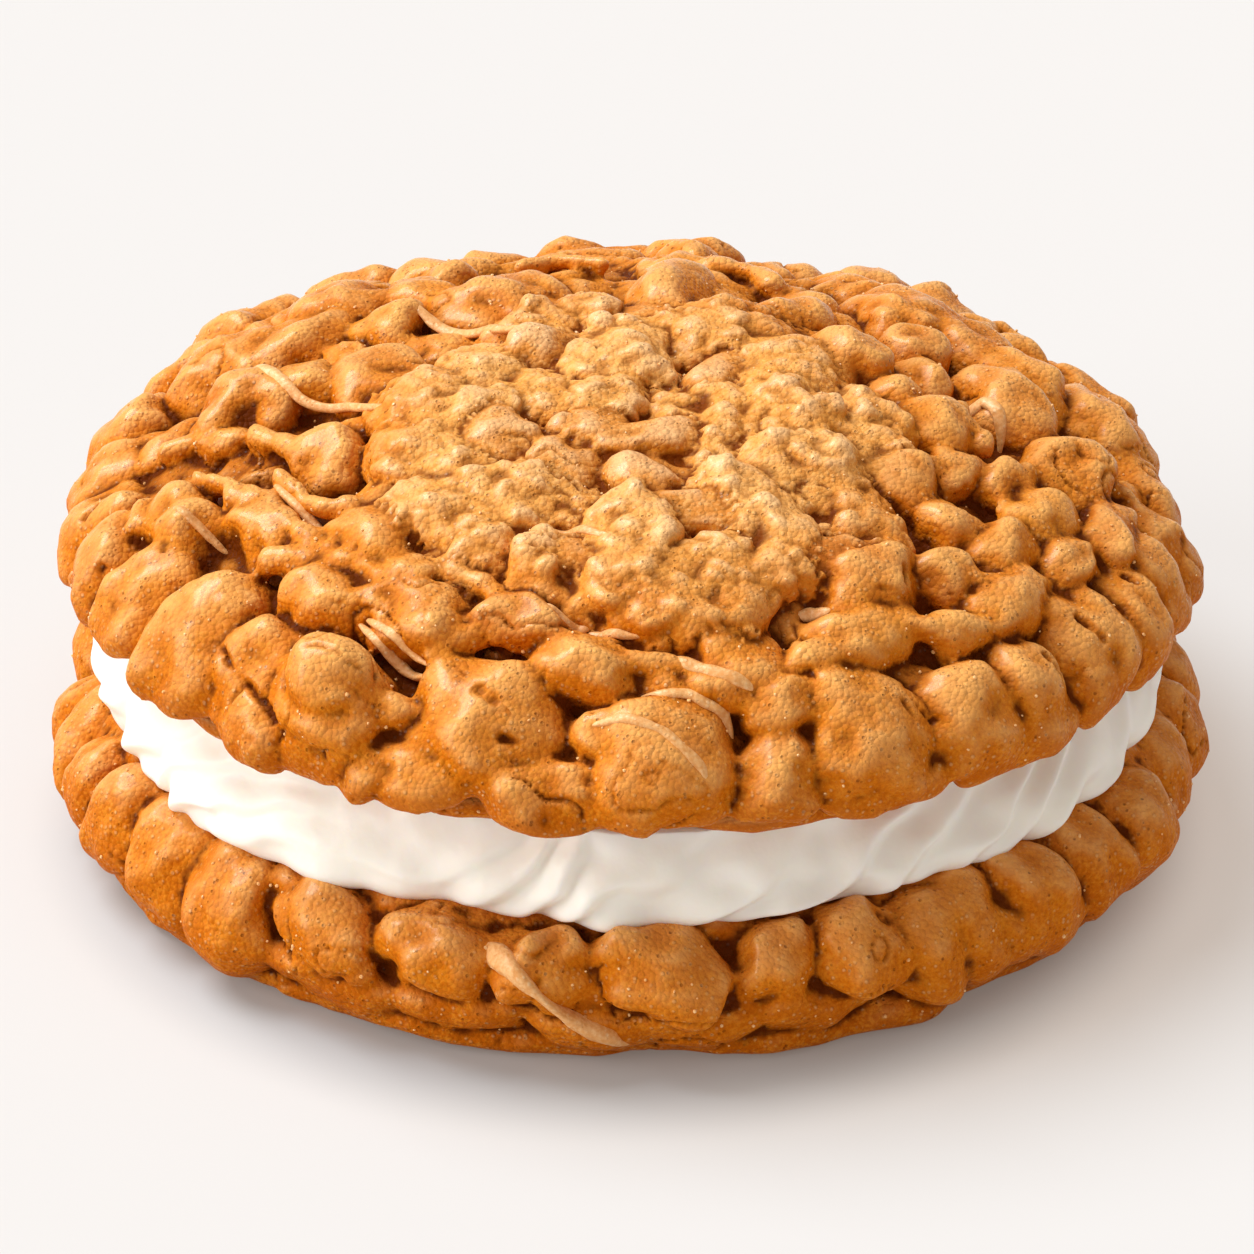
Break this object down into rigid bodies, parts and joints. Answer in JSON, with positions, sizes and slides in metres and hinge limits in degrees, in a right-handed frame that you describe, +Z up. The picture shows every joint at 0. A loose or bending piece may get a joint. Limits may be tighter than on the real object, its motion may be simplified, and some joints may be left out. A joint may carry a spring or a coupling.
{
  "type": "oatmeal cream pie",
  "caption": "Round sandwich of two thick, lumpy oatmeal cookies with a layer of white cream that swells out between them.",
  "frame": {"origin": "on the table under the middle of the pie", "axes": "+Z up, -Y towards the front that the picture shows, +X to the right of it"},
  "size_m": [0.1001, 0.1005, 0.0406],
  "materials": {
    "cookie": "baked oatmeal dough, soft satin with small pores and pale sugar grains",
    "cream": "smooth whipped white cream, slightly glossy"
  },
  "bodies": {
    "root": {"bottom_cookie": "cookie", "cream": "cream", "top_cookie": "cookie"}
  },
  "joints": []
}
